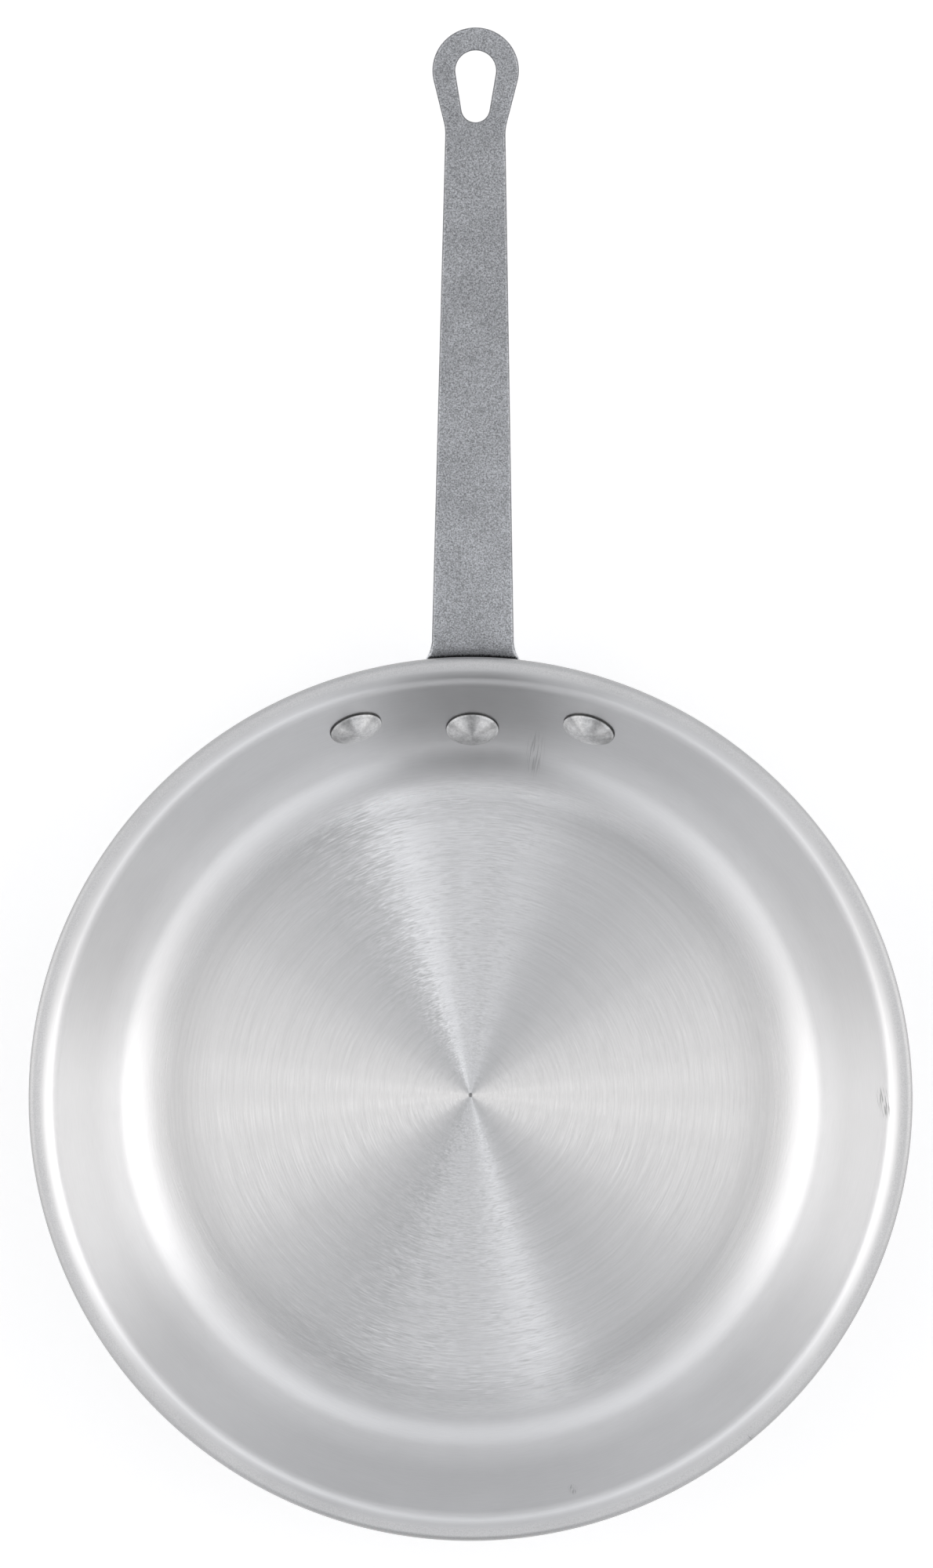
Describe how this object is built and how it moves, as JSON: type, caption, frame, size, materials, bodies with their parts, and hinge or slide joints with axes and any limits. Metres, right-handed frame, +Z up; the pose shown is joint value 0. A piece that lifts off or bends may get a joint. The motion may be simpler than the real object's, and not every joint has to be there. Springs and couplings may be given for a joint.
{
  "type": "frying pan",
  "caption": "Round aluminium frying pan with a flat turned floor, flared wall and rolled lip, and a riveted flat steel strap handle ending in a hanging eye.",
  "frame": {"origin": "centre of the flat underside, where the pan stands", "axes": "+Z up out of the bowl, +Y from the bowl's centre along the handle to the hanging eye, +X to the right seen from above"},
  "size_m": [0.26, 0.4428, 0.0786],
  "materials": {
    "bowl_aluminium": "satin",
    "handle_steel": "matt tumbled plating",
    "rivet_aluminium": "polished"
  },
  "bodies": {
    "root": {"pan_body": "bowl_aluminium", "handle": "handle_steel", "rivet_left": "rivet_aluminium", "rivet_centre": "rivet_aluminium", "rivet_right": "rivet_aluminium"}
  },
  "joints": []
}
